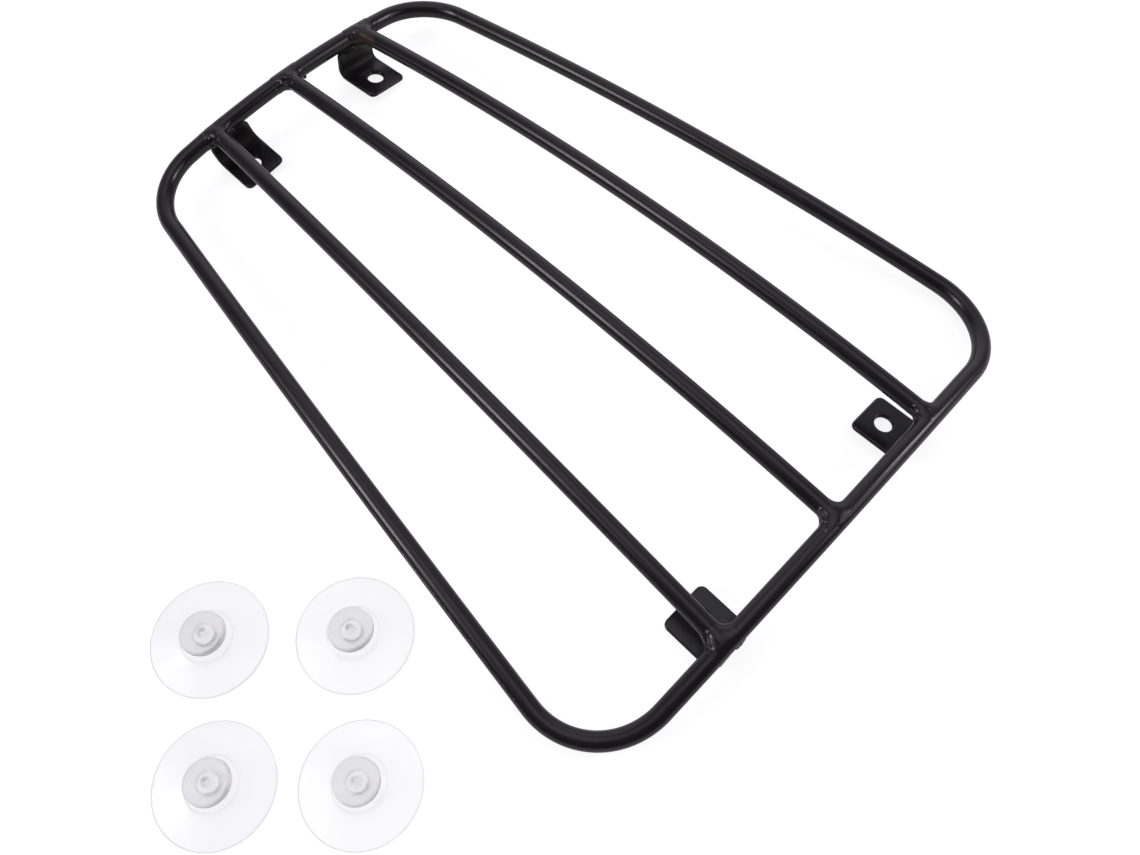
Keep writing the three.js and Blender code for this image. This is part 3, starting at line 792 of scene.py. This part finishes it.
def surface_net(field, lo, hi, h):
    """Closed quad mesh of field = 0 inside a box: one vertex per crossed cell, then drawn onto the field."""
    lo, hi = np.array(lo, float), np.array(hi, float)
    n = np.ceil((hi - lo) / h).astype(int) + 1
    gx = [lo[i] + h * np.arange(n[i]) for i in range(3)]
    grid = np.stack(np.meshgrid(*gx, indexing="ij"), -1)
    # a coarse pass finds the cells near the surface, and only those are worked out finely
    step = 4
    cx = [np.minimum(np.arange(0, n[i] + step, step), n[i] - 1) for i in range(3)]
    coarse = field(grid[np.ix_(*cx)].reshape(-1, 3)).reshape([len(c) for c in cx])
    near = [np.clip((np.arange(n[i]) + step // 2) // step, 0, len(cx[i]) - 1) for i in range(3)]
    val = coarse[np.ix_(*near)].copy()
    band = np.abs(val) < step * h * 1.6
    val[band] = field(grid[band])
    neg = val < 0
    corners = [(i, j, k) for i in (0, 1) for j in (0, 1) for k in (0, 1)]
    sl = lambda c: tuple(slice(o, n[a] - 1 + o) for a, o in enumerate(c))
    count = sum(neg[sl(c)].astype(int) for c in corners)
    active = (count > 0) & (count < 8)
    ids = -np.ones(active.shape, int)
    ids[active] = np.arange(active.sum())
    cells = np.argwhere(active)
    acc = np.zeros((len(cells), 3))
    cnt = np.zeros(len(cells))
    for ca in corners:
        for axis in range(3):
            if ca[axis]:
                continue
            cb = list(ca); cb[axis] = 1
            va = val[sl(ca)][active]
            vb = val[sl(tuple(cb))][active]
            cross = (va < 0) != (vb < 0)
            t = np.where(cross, va / np.where(cross, va - vb, 1), 0)
            pt = np.array(ca, float)[None].repeat(len(cells), 0)
            pt[:, axis] += t
            acc[cross] += pt[cross]
            cnt[cross] += 1
    verts = lo + h * (cells + acc / cnt[:, None])
    quads = []
    for axis in range(3):
        o1, o2 = [(1, 2), (2, 0), (0, 1)][axis]
        s0 = [slice(1, n[a] - 1) for a in range(3)]
        s0[axis] = slice(0, n[axis] - 1)
        s1 = list(s0); s1[axis] = slice(1, n[axis])
        a, b = neg[tuple(s0)], neg[tuple(s1)]
        idx = np.argwhere(a != b)
        base = idx + np.array([s0[q].start for q in range(3)])
        flip = a[tuple(idx.T)]
        e1 = np.zeros(3, int); e1[o1] = 1
        e2 = np.zeros(3, int); e2[o2] = 1
        q = np.stack([ids[tuple((base - e1 - e2).T)], ids[tuple((base - e2).T)],
                      ids[tuple(base.T)], ids[tuple((base - e1).T)]], 1)
        q[~flip] = q[~flip][:, ::-1]
        quads.append(q)
    quads = np.concatenate(quads)
    # draw the vertices onto the surface, easing them along it between steps
    nb_a = np.concatenate([quads[:, i] for i in range(4)] + [quads[:, (i + 1) % 4] for i in range(4)])
    nb_b = np.concatenate([quads[:, (i + 1) % 4] for i in range(4)] + [quads[:, i] for i in range(4)])
    deg = np.bincount(nb_a, minlength=len(verts)).astype(float)
    e = 0.02

    def project(v, steps):
        for _ in range(steps):
            d = field(v)
            g = np.stack([field(v + np.eye(3)[i] * e) - field(v - np.eye(3)[i] * e) for i in range(3)], -1) / (2 * e)
            g2 = np.maximum(np.sum(g * g, -1), 0.25)
            v = v - np.clip(d, -h, h)[:, None] * g / g2[:, None]
        return v

    verts = project(verts, 2)
    for _ in range(4):
        mean = np.stack([np.bincount(nb_a, weights=verts[nb_b, i], minlength=len(verts)) for i in range(3)], -1) / deg[:, None]
        verts = project(verts + 0.55 * (mean - verts), 1)
    verts = project(verts, 2)
    return verts, quads


INSIDE = 0.03                     # away from a bead its surface runs this far inside the bars
VOXEL = 0.30


def strand(p, points, r):
    """Distance from p to a round strand of radius r through points (one point makes a ball)."""
    q = [np.array(c, float) for c in points]
    if len(q) == 1:
        return np.linalg.norm(p - q[0], axis=-1) - r
    d = np.full(p.shape[:-1], 1e9)
    for a, b in zip(q[:-1], q[1:]):
        ab = b - a
        t = np.clip((p - a) @ ab / max(float(ab @ ab), 1e-9), 0, 1)
        d = np.minimum(d, np.linalg.norm(p - a - t[..., None] * ab, axis=-1))
    return d - r


def details(p, items, field):
    """A field with strands and balls of weld metal laid on it (r > 0) or pits sunk in it (r < 0)."""
    for r, points in items:
        d = strand(p, points, abs(r))
        if r > 0:
            field = fillet(field, d, 0.45 * r)
        else:
            field = -fillet(-field, d, -0.6 * r)
    return field


def soft_union(a, b, k):
    """Union of two fields with a blend of width k whose edges fade out smoothly."""
    h = np.maximum(k - np.abs(a - b), 0) / k
    return np.minimum(a, b) - h * h * h * k / 6


# how the flat weld face on each joint's -X side leans: under 45 degrees towards the loop's
# surface, over it towards the rail's
LEAN = {("left", -1): 64, ("left", 1): 18, ("right", 1): 30, ("right", -1): 28}
# how far short of the loop's axis each rail's fused end stops
BACK = {("left", -1): 5.9, ("right", -1): 6.3}


def joint_field(p, rail, end, size, sleeve, crest, seed):
    """The loop and one rail's end filled into each other: size is the fillet left and right of the
    rail, sleeve how far the bead laps over the loop, crest how much of it crosses the loop's top."""
    loop_c, rail_c = loop_end_curve(end), rail_curve(rail)
    x = rail_x_at(rail, end * LENGTH / 2)
    y = end_y(end, x)
    y_end = y - end * BACK.get((rail[0], end), 5.2)
    dx = p[:, 0] - x
    a = curve_distance(p, loop_c, p[:, 0], -90, 90) - BAR_R + INSIDE
    a = a - sleeve * smoothstep(8.4, 6.6, np.abs(dx + 0.6) + 0.5 * waves(p, 7.0, seed + 3))
    lo, hi = (-200, y_end) if end > 0 else (y_end, 200)
    b = curve_distance(p, rail_c, np.clip(p[:, 1], lo, hi), lo, hi) - BAR_R + INSIDE
    side = smoothstep(1.5, -2.5, dx)
    r = (size[0] * side + size[1] * (1 - side)) * (1 + 0.06 * waves(p, 8.0, seed + 5))
    r = r * (crest + (1 - crest) * smoothstep(-1.5, 2.5, -end * (p[:, 1] - y))) + 0.02
    hollow = 0.55 * fillet(a, b, r) + 0.45 * soft_union(a, b, 1.6 * r)
    lean = math.radians(LEAN.get((rail[0], end), 45))
    ca, cb = math.cos(lean), math.sin(lean)
    flat = fillet(np.minimum(a, b), ca * a + cb * b - 0.30 * (ca + cb) * r, 0.7 + 0.05 * r)
    k = side * smoothstep(4.0, 1.5, p[:, 2] - bar_z(x, y))
    return a, b, r, hollow * (1 - k) + flat * k, side


def rail_bead(rail, end, seed, size, sleeve, crest, toe, lumps, items=()):
    """The weld round one rail's end: a fillet between the bars, with a raised toe and fine lumps
    towards the rail's -X side, where the torch finished, and a calmer +X side."""
    x = rail_x_at(rail, end * LENGTH / 2)
    y = end_y(end, x)
    z = bar_z(x, y)
    centre = np.array([x, y - end * 3.4, z])

    def field(p):
        a, b, r, d, side = joint_field(p, rail, end, size, sleeve, crest, seed)
        rough = 0.3 + 0.7 * side
        # toes: where the bead's edge laps on to each bar
        ridge = np.exp(-((a - 0.86 * r) / 0.42) ** 2 - (b / 0.8) ** 2)
        ridge = ridge + np.exp(-((b - 0.86 * r) / 0.42) ** 2 - (a / 0.8) ** 2)
        broken = smoothstep(-0.35, 0.5, waves(p, 3.4, seed + 2))
        d = d - toe * ridge * (0.25 + 0.75 * broken) * rough
        free = smoothstep(0.08, 0.8, np.minimum(a, b)) * smoothstep(r, 0.75 * r, np.maximum(a, b))
        d = d - lumps * (0.10 * waves(p, 4.2, seed) + 0.04 * waves(p, 1.7, seed + 1)) * free * rough
        d = details(p, items, d)
        q = p - centre
        ball = np.sqrt((q[:, 0] / 1.25) ** 2 + q[:, 1] ** 2 + q[:, 2] ** 2) - 9.8
        return np.maximum(d, ball)
    ext = np.array([12.8, 10.4, 10.4])
    return surface_net(field, centre - ext, centre + ext, VOXEL)


def strip_bead(b, face, seed, size, half, shift, lumps, items=()):
    """The fillet between one face of a foot's web and the underside of the loop.
    face is +1 for the outer face, -1 for the inner; half is its half length, shift its middle."""
    end = b[2]
    loop_c = loop_end_curve(end)
    m = bracket_matrix(b)
    mid = FOOT_L - STRIP_T / 2
    top = m[:3, :3] @ np.array([shift, mid, b[7] - 0.6]) + m[:3, 3]

    def field(p):
        a = curve_distance(p, loop_c, p[:, 0], -90, 90) - BAR_R + INSIDE
        w = strip_distance(p, m, b[7]) + INSIDE
        q = (p - m[:3, 3]) @ m[:3, :3]
        along = np.abs(q[:, 0] - shift) / half
        r = size * (1 + 0.10 * waves(p, 6.0, seed + 5)) * np.sqrt(np.clip(1.0 - along ** 4, 0.0, 1.0)) + 0.02
        d = fillet(a, w, r)
        free = smoothstep(0.05, 0.6, np.minimum(a, w)) * smoothstep(1.0, 0.8, along)
        d = d - (0.12 * waves(p, 2.8, seed) + 0.05 * waves(p, 1.4, seed + 1)) * free * lumps
        d = details(p, items, d)
        n = (q[:, 1] - mid) * face
        box = np.maximum(np.abs(q[:, 0] - shift) - half - 1.6, np.hypot(q[:, 1] - mid, q[:, 2] - b[7] + 0.6) - 5.4)
        return np.maximum(np.maximum(d, box), 0.25 - n)
    ext = np.array([half + 2.2, 7.2, 7.2])
    return surface_net(field, top - ext, top + ext, VOXEL)


# rail, end: fillets left and right, sleeve, crest, toe ridge, lumps
RAIL_WELDS = {
    ("left", 1): ((3.3, 3.2), 0.10, 0.9, 0.08, 0.8),
    ("centre", 1): ((3.6, 3.3), 0.28, 1.0, 0.10, 1.0),
    ("right", 1): ((5.2, 3.6), 0.34, 1.0, 0.03, 0.6),
    ("left", -1): ((5.6, 4.6), 0.0, 1.0, 0.06, 0.5),
    ("centre", -1): ((4.8, 4.6), 0.0, 0.95, 0.08, 0.6),
    ("right", -1): ((4.5, 4.3), 0.0, 1.0, 0.05, 0.6),
}
# Strands, balls and pits of weld metal on each rail joint: (radius, points in rack millimetres)
DETAILS = {
    ("left", -1): (
        (0.42, ((-67.39, -162.06, 23.38), (-68.71, -163.7, 22.76), (-70.34, -165.61, 22.3), (-71.87, -167.41, 22.04))),
        (0.55, ((-67.36, -162.06, 23.34),)),
        (0.5, ((-70.65, -166.06, 22.21),)),
        (0.55, ((-71.83, -167.44, 22.01),)),
        (0.45, ((-69.03, -161.59, 21.1), (-69.92, -163.1, 20.22), (-71.13, -164.69, 20.51), (-72.17, -165.97, 20.99))),
        (0.5, ((-69.05, -161.78, 21.01),)),
        (1.2, ((-59.5, -162.2, 15.6), (-58.5, -164.2, 15.6))),
    ),
    ("centre", -1): (
        (0.34, ((-2.25, -161.97, 28.84), (-2.65, -163.49, 28.54), (-3.89, -165.64, 28.31), (-5.46, -167.59, 28.35),
                (-6.97, -169.16, 28.72), (-8.41, -169.41, 28.74))),
        (0.5, ((-2.28, -162.33, 28.72),)),
        (0.4, ((-5.38, -167.17, 28.16),)),
        (0.5, ((-3.15, -162.5, 27.82), (-3.87, -164.28, 27.5), (-5.0, -165.8, 27.47), (-6.42, -166.23, 26.78))),
        (0.55, ((-6.56, -166.25, 26.53),)),
    ),
    ("right", -1): (
        (0.52, ((61.67, -161.55, 23.7),)),
        (0.35, ((62.99, -161.5, 24.29),)),
        (0.36, ((60.7, -167.44, 24.12),)),
        (0.3, ((59.95, -166.48, 23.77),)),
        (0.34, ((60.32, -161.65, 22.34), (60.11, -163.08, 22.28), (59.44, -164.52, 22.41), (58.87, -165.9, 23.09))),
        (0.32, ((59.72, -163.2, 21.65), (59.03, -164.58, 21.99), (58.48, -165.47, 22.51))),
    ),
    ("left", 1): (
        (0.3, ((-51.13, 168.77, 22.83),)),
        (0.45, ((-51.56, 166.71, 22.18),)),
        (0.45, ((-50.47, 165.72, 22.09),)),
        (0.32, ((-46.41, 163.24, 23.9),)),
        (0.38, ((-47.02, 161.45, 23.9), (-47.89, 160.96, 23.51), (-48.55, 160.84, 22.94))),
        (0.32, ((-51.45, 164.8, 20.28), (-50.15, 163.75, 20.59), (-49.44, 161.09, 21.26))),
        (0.48, ((-50.92, 165.59, 16.22), (-49.65, 164.18, 16.96))),
        (-0.8, ((-50.69, 163.7, 18.79), (-49.97, 162.63, 19.18))),
        (0.52, ((-39.13, 165.77, 22.59),)),
        (1.4, ((-38.7, 165.9, 18.6),)),
        (0.4, ((-37.25, 165.78, 17.46), (-38.05, 165.43, 16.98))),
        (0.36, ((-39.94, 164.6, 20.89), (-39.15, 165.82, 17.31))),
        (0.3, ((-38.59, 164.87, 20.62),)),
    ),
    ("centre", 1): (
        (0.36, ((-6.52, 167.0, 25.6),)),
        (0.48, ((-5.58, 166.38, 25.35),)),
        (0.36, ((-7.48, 165.96, 24.72),)),
        (0.34, ((-9.28, 165.3, 23.38),)),
        (0.36, ((-2.67, 160.66, 25.54), (-1.81, 160.6, 26.21), (-0.63, 160.84, 26.65))),
        (0.42, ((-5.97, 164.69, 23.42), (-4.76, 163.71, 23.23), (-3.36, 162.42, 24.67))),
        (-1.5, ((-4.49, 164.58, 25.69), (-2.93, 163.0, 26.19))),
        (-0.9, ((-3.19, 161.84, 25.47),)),
        (0.55, ((8.09, 166.12, 19.2),)),
        (0.95, ((7.51, 165.33, 21.94),)),
        (1.0, ((7.63, 165.95, 18.86),)),
    ),
    ("right", 1): (
        (0.5, ((41.41, 166.19, 23.38),)),
        (0.42, ((56.12, 165.97, 20.88),)),
        (0.42, ((54.79, 165.1, 19.54),)),
        (0.95, ((54.37, 165.33, 17.7),)),
        (0.8, ((54.96, 165.66, 20.09),)),
        (0.9, ((47.47, 168.99, 23.15),)),
    ),
}
STRIP_DETAILS = {
    ("wide_left", "outer"): (
        (1.9, ((-58.0, -171.7, 15.4), (-61.8, -171.9, 15.4))),
        (1.8, ((-66.2, -171.4, 15.0), (-71.3, -171.6, 15.0))),
        (0.6, ((-60.2, -173.3, 15.8),)),
    ),
    ("wide_right", "outer"): ((1.6, ((61.0, -171.2, 15.5),)), (1.2, ((66.0, -171.0, 15.0),))),
    ("narrow_left", "outer"): ((1.5, ((-42.0, 170.6, 14.5), (-38.5, 170.8, 14.6))),),
    ("narrow_right", "outer"): ((1.5, ((36.0, 170.4, 14.5), (40.5, 170.8, 14.6))),),
}
# Pinhead spatter on each rail joint, coloured pale as painted glints: (radius, point)
SPATTER = {
    ("left", -1): ((0.42, (-67.39, -162.06, 23.38)), (0.36, (-70.65, -166.06, 22.21)), (0.44, (-71.83, -167.44, 22.01)),
                   (0.30, (-69.05, -161.78, 21.01))),
    ("centre", -1): ((0.40, (-2.28, -162.33, 28.72)), (0.36, (-5.38, -167.17, 28.16)), (0.42, (-6.56, -166.25, 26.53)),
                     (0.30, (-8.41, -169.41, 28.74))),
    ("right", -1): ((0.42, (61.67, -161.55, 23.7)), (0.20, (62.99, -161.5, 24.29)), (0.26, (60.7, -167.44, 24.12))),
    ("left", 1): ((0.26, (-51.13, 168.77, 22.83)), (0.40, (-51.56, 166.71, 22.18)), (0.40, (-50.47, 165.72, 22.09)),
                  (0.26, (-46.41, 163.24, 23.9)), (0.42, (-39.13, 165.77, 22.59))),
    ("centre", 1): ((0.34, (-6.52, 167.0, 25.6)), (0.42, (-5.58, 166.38, 25.35)), (0.28, (-7.48, 165.96, 24.72)),
                    (0.26, (-9.28, 165.3, 23.38))),
    ("right", 1): ((0.42, (41.41, 166.19, 23.38)), (0.34, (56.12, 165.97, 20.88))),
}


def spatter(rail, end, seed, size, sleeve, crest, items):
    """Small slightly squashed balls half sunk in the bead's surface, as (verts, faces)."""
    verts, faces = [], []
    rings, sides = 7, 12
    for n, (r, point) in enumerate(items):
        p = np.array([point], float)
        for _ in range(4):
            # settle the point on to the surface
            d = joint_field(p, rail, end, size, sleeve, crest, seed)[3][0]
            g = np.array([joint_field(p + e, rail, end, size, sleeve, crest, seed)[3][0] - d
                          for e in np.eye(3) * 0.02]) / 0.02
            g /= max(float(np.linalg.norm(g)), 1e-6)
            p = p - g * d * 0.9
        c = p[0] + g * r * 0.25
        stretch = np.array([1.0 + 0.15 * math.sin(5 * n + seed), 1.0 + 0.15 * math.cos(3 * n + seed), 0.9])
        base = len(verts)
        verts.append(c + np.array([0, 0, r]) * stretch)
        for i in range(1, rings):
            t = math.pi * i / rings
            for k in range(sides):
                a = 2 * math.pi * k / sides
                verts.append(c + r * stretch * np.array([math.sin(t) * math.cos(a), math.sin(t) * math.sin(a), math.cos(t)]))
        verts.append(c - np.array([0, 0, r]) * stretch)
        last = len(verts) - 1
        for k in range(sides):
            m = (k + 1) % sides
            faces.append((base, base + 1 + k, base + 1 + m))
            for i in range(rings - 2):
                u, w = base + 1 + i * sides, base + 1 + (i + 1) * sides
                faces.append((u + k, w + k, w + m, u + m))
            u = base + 1 + (rings - 2) * sides
            faces.append((u + k, last, u + m))
    return np.array(verts), faces


seed = 11
for rail in RAILS:
    for end, word in ((1, "narrow"), (-1, "wide")):
        seed += 7
        v, q = rail_bead(rail, end, seed, *RAIL_WELDS[rail[0], end], DETAILS.get((rail[0], end), ()))
        coat = COAT_BROWNED if (rail[0], end) == ("right", 1) else COAT_WELD
        new_mesh(f"bead_{rail[0]}_{word}", v, q, coat, "rack", [f"weld_rail_{rail[0]}_{word}"])
        size, sleeve, crest = RAIL_WELDS[rail[0], end][:3]
        v, q = spatter(rail, end, seed, size, sleeve, crest, SPATTER[rail[0], end])
        # the spatter balls carry the pale grey of painted glints
        new_mesh(f"spatter_{rail[0]}_{word}", v, q, SPATTER_PAINTED_GLINT, "rack", [f"weld_rail_{rail[0]}_{word}"])
for b in BRACKETS:
    name, side, end = b[0], b[1], b[2]
    seed += 7
    for word, face, half, shift in (("inner", -1, 4.2, -side * end * 5.6), ("outer", 1, 9.4, 0.0)):
        v, q = strip_bead(b, face, seed, 2.4, half, shift, 1.0, STRIP_DETAILS.get((name, word), ()))
        new_mesh(f"bead_{name}_{word}", v, q, COAT_WELD, "rack", [f"weld_bracket_{name}_{word}"])


# --------------------------------------------------------------------------
# suction cups: turned from a fine profile
# --------------------------------------------------------------------------
def lathe(profile, sides):
    """Closed turned shape from (r, z) pairs that start and end on the axis."""
    verts, faces, rows = [], [], []
    for r, z in profile:
        if r < 1e-6:
            rows.append([len(verts)])
            verts.append((0, 0, z))
        else:
            rows.append(list(range(len(verts), len(verts) + sides)))
            for k in range(sides):
                a = 2 * math.pi * k / sides
                verts.append((r * math.cos(a), r * math.sin(a), z))
    for a, b in zip(rows[:-1], rows[1:]):
        for k in range(sides):
            m = (k + 1) % sides
            if len(a) == 1:
                faces.append((a[0], b[m], b[k]))
            elif len(b) == 1:
                faces.append((a[k], a[m], b[0]))
            else:
                faces.append((a[k], a[m], b[m], b[k]))
    return np.array(verts, float), faces


def rounded(points):
    """Polyline (r, z, fillet radius, steps) to a profile with its corners rounded."""
    out = []
    n = len(points)
    for i, (r, z, rad, steps) in enumerate(points):
        if i in (0, n - 1) or rad <= 0:
            out.append((r, z))
            continue
        p = np.array([r, z], float)
        a = np.array(points[i - 1][:2], float) - p
        b = np.array(points[i + 1][:2], float) - p
        la, lb = np.linalg.norm(a), np.linalg.norm(b)
        a /= la; b /= lb
        ang = math.acos(float(np.clip(a @ b, -1, 1)))
        back = min(rad / math.tan(ang / 2), la * 0.49, lb * 0.49)
        rr = back * math.tan(ang / 2)
        mid = a + b
        if np.linalg.norm(mid) < 1e-6:
            out.append((r, z))
            continue
        mid /= np.linalg.norm(mid)
        c = p + mid * rr / math.sin(ang / 2)
        s, e = p + a * back, p + b * back
        a0 = math.atan2(*(s - c)[::-1]); a1 = math.atan2(*(e - c)[::-1])
        da = (a1 - a0 + math.pi) % (2 * math.pi) - math.pi
        for k in range(steps + 1):
            t = a0 + da * k / steps
            out.append((c[0] + rr * math.cos(t), c[1] + rr * math.sin(t)))
    return out


CUP_POINTS = [
    (0, 2.4, 0, 0), (6.0, 2.3, 3, 3), (12.0, 1.75, 8, 4), (18.0, 0.85, 10, 4), (22.3, 0.12, 6, 4),
    (23.35, 0.0, 0.35, 4), (23.5, 0.5, 0.3, 4), (23.25, 1.0, 0.3, 4), (22.6, 1.0, 0.5, 4), (17.0, 1.95, 10, 4),
    (11.1, 3.0, 1.0, 5), (10.35, 4.05, 0.5, 4), (9.8, 4.3, 0.4, 4), (4.6, 4.35, 0.6, 4),
    (4.0, 5.0, 0.8, 4), (4.0, 6.6, 0.6, 4), (8.4, 7.0, 0.5, 4), (8.9, 7.9, 0.6, 5), (8.8, 9.55, 0.8, 6),
    (7.9, 10.25, 0.9, 6), (4.6, 10.48, 0.6, 4), (3.8, 10.2, 0.5, 4), (1.9, 10.3, 0.4, 5),
    (1.4, 9.5, 0.4, 4), (1.2, 7.4, 0.5, 4), (0, 7.1, 0, 0),
]
cup_profile = rounded(CUP_POINTS)
for i in (1, 2, 3, 4):
    lo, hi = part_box(f"suction_cup_{i}")
    cx, cy = (lo.x + hi.x) / 2 / MM, (lo.y + hi.y) / 2 / MM
    v, f = lathe(cup_profile, 96)
    v = v + np.array([cx, cy, 0.0])
    # cups 1 and 3 get a darker, more lavender copy of the same clear vinyl than cups 2 and 4: painted shade
    tint = (0.955, 0.952, 0.98) if i in (1, 3) else (0.985, 0.985, 0.99)
    mat = clear_vinyl(f"clear_vinyl_{i}", tint, 0.08, (cx, cy))
    new_mesh(f"cup_{i}_moulding", v, f, mat, f"cup_{i}", [f"suction_cup_{i}"], in_rack=False)


# --------------------------------------------------------------------------
# studio: pale floor, two softboxes with soft edges, a pale wall on the far side
# --------------------------------------------------------------------------
def glow(nt):
    """1 for what the camera sees directly or through a clear piece, else 0."""
    lp = nt.nodes.new("ShaderNodeLightPath")
    m = nt.nodes.new("ShaderNodeMath")
    m.operation = "MAXIMUM"
    nt.links.new(lp.outputs["Is Camera Ray"], m.inputs[0])
    nt.links.new(lp.outputs["Is Transmission Ray"], m.inputs[1])
    return m.outputs[0]


def floor():
    n, half = 24, 6.0
    g = np.linspace(-half, half, n + 1)
    verts = [(x, y, -0.00002) for y in g for x in g]
    faces = [(j * (n + 1) + i, j * (n + 1) + i + 1, (j + 1) * (n + 1) + i + 1, (j + 1) * (n + 1) + i)
             for j in range(n) for i in range(n)]
    me = bpy.data.meshes.new("floor")
    me.from_pydata(verts, [], faces)
    me.update()
    ob = bpy.data.objects.new("floor", me)
    bpy.context.scene.collection.objects.link(ob)
    mat = bpy.data.materials.new("pale_floor")
    nt, bsdf, out = nodes_of(mat)
    tc = nt.nodes.new("ShaderNodeTexCoord")
    ramp = nt.nodes.new("ShaderNodeValToRGB")
    ramp.color_ramp.elements[0].color = (0.44, 0.44, 0.445, 1)
    ramp.color_ramp.elements[1].color = (0.46, 0.46, 0.465, 1)
    nt.links.new(noise(nt, tc.outputs["Object"], 3.0), ramp.inputs[0])
    nt.links.new(ramp.outputs[0], bsdf.inputs["Base Color"])
    bsdf.inputs["Roughness"].default_value = 0.9
    bsdf.inputs["Specular IOR Level"].default_value = 0.1
    lit = nt.nodes.new("ShaderNodeEmission")
    lit.inputs["Color"].default_value = (1.0, 1.0, 1.0, 1)
    k = nt.nodes.new("ShaderNodeMath")
    k.operation = "MULTIPLY_ADD"
    nt.links.new(glow(nt), k.inputs[0])
    k.inputs[1].default_value = FLOOR_SEEN - FLOOR_CAST
    k.inputs[2].default_value = FLOOR_CAST
    nt.links.new(k.outputs[0], lit.inputs["Strength"])
    add = nt.nodes.new("ShaderNodeAddShader")
    nt.links.new(bsdf.outputs[0], add.inputs[0])
    nt.links.new(lit.outputs[0], add.inputs[1])
    nt.links.new(add.outputs[0], out.inputs[0])
    me.materials.append(mat)
    ob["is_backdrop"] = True


FLOOR_SEEN, FLOOR_CAST = 0.84, 0.30
floor()


def softbox(name, azimuth, elevation, wide, tall, radiance, colour=(1, 1, 1), distance=1.5, target=(0.06, 0.0, 0.0)):
    """Area light at a compass direction (degrees anticlockwise from +X), aimed at the rack.
    wide and tall are the angles it fills, radiance its brightness."""
    a, e = math.radians(azimuth), math.radians(elevation)
    d = Vector((math.cos(a) * math.cos(e), math.sin(a) * math.cos(e), math.sin(e)))
    light = bpy.data.lights.new(name, "AREA")
    light.shape = "RECTANGLE"
    light.size = 2 * distance * math.tan(math.radians(wide / 2))
    light.size_y = 2 * distance * math.tan(math.radians(tall / 2))
    light.energy = radiance * math.pi * light.size * light.size_y
    light.color = colour
    ob = bpy.data.objects.new(name, light)
    ob.location = Vector(target) + d * distance
    ob.rotation_euler = d.to_track_quat("Z", "Y").to_euler()
    bpy.context.scene.collection.objects.link(ob)
    return ob


PINK = (1.0, 0.93, 0.975)
softbox("softbox_left", 151.5, 37.5, 13, 21, 6.5, PINK)
softbox("softbox_left_spill", 151, 39, 36, 42, 0.75, PINK, distance=1.52)
softbox("softbox_right", 321, 33, 10, 17, 6.7, PINK)
softbox("softbox_right_spill", 311, 32, 32, 38, 1.15, PINK, distance=1.52)

world = bpy.data.worlds.new("studio")
bpy.context.scene.world = world
world.use_nodes = True
wt = world.node_tree
wt.nodes.clear()
w_out = wt.nodes.new("ShaderNodeOutputWorld")
w_tc = wt.nodes.new("ShaderNodeTexCoord")


def lobe(azimuth, elevation, lo_cos, hi_cos, strength, colour):
    """A soft patch of sky round one direction, as a background shader."""
    a, e = math.radians(azimuth), math.radians(elevation)
    dot = wt.nodes.new("ShaderNodeVectorMath")
    dot.operation = "DOT_PRODUCT"
    wt.links.new(w_tc.outputs["Generated"], dot.inputs[0])
    dot.inputs[1].default_value = (math.cos(a) * math.cos(e), math.sin(a) * math.cos(e), math.sin(e))
    mr = wt.nodes.new("ShaderNodeMapRange")
    mr.interpolation_type = "SMOOTHSTEP"
    mr.inputs["From Min"].default_value = lo_cos
    mr.inputs["From Max"].default_value = hi_cos
    mr.inputs["To Min"].default_value = 0.0
    mr.inputs["To Max"].default_value = strength
    wt.links.new(dot.outputs["Value"], mr.inputs["Value"])
    bg = wt.nodes.new("ShaderNodeBackground")
    bg.inputs["Color"].default_value = (*colour, 1)
    wt.links.new(mr.outputs["Result"], bg.inputs["Strength"])
    return bg.outputs[0]


COOL = (0.96, 0.93, 1.08)
room = wt.nodes.new("ShaderNodeBackground")
room.inputs["Color"].default_value = (1.0, 1.0, 1.0, 1)
room.inputs["Strength"].default_value = 0.055
total = room.outputs[0]
for part in (lobe(46, 4, 0.45, 0.97, 0.58, COOL), lobe(46, 4, -0.2, 0.8, 0.14, COOL), lobe(60, 82, 0.84, 1.0, 0.70, COOL)):
    add = wt.nodes.new("ShaderNodeAddShader")
    wt.links.new(total, add.inputs[0])
    wt.links.new(part, add.inputs[1])
    total = add.outputs[0]
pale = wt.nodes.new("ShaderNodeBackground")
pale.inputs["Color"].default_value = (1.0, 1.0, 1.0, 1)
pale.inputs["Strength"].default_value = 1.0
through = wt.nodes.new("ShaderNodeBackground")
through.inputs["Color"].default_value = (1.0, 1.0, 1.0, 1)
through.inputs["Strength"].default_value = 0.45
rays = wt.nodes.new("ShaderNodeLightPath")
mix = wt.nodes.new("ShaderNodeMixShader")
wt.links.new(rays.outputs["Is Transmission Ray"], mix.inputs[0])
wt.links.new(total, mix.inputs[1])
wt.links.new(through.outputs[0], mix.inputs[2])
mix2 = wt.nodes.new("ShaderNodeMixShader")
wt.links.new(rays.outputs["Is Camera Ray"], mix2.inputs[0])
wt.links.new(mix.outputs[0], mix2.inputs[1])
wt.links.new(pale.outputs[0], mix2.inputs[2])
wt.links.new(mix2.outputs[0], w_out.inputs[0])

bpy.context.scene.view_settings.view_transform = "Standard"
bpy.context.scene.view_settings.look = "None"
bpy.context.scene.view_settings.exposure = 0.0

lo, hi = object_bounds()
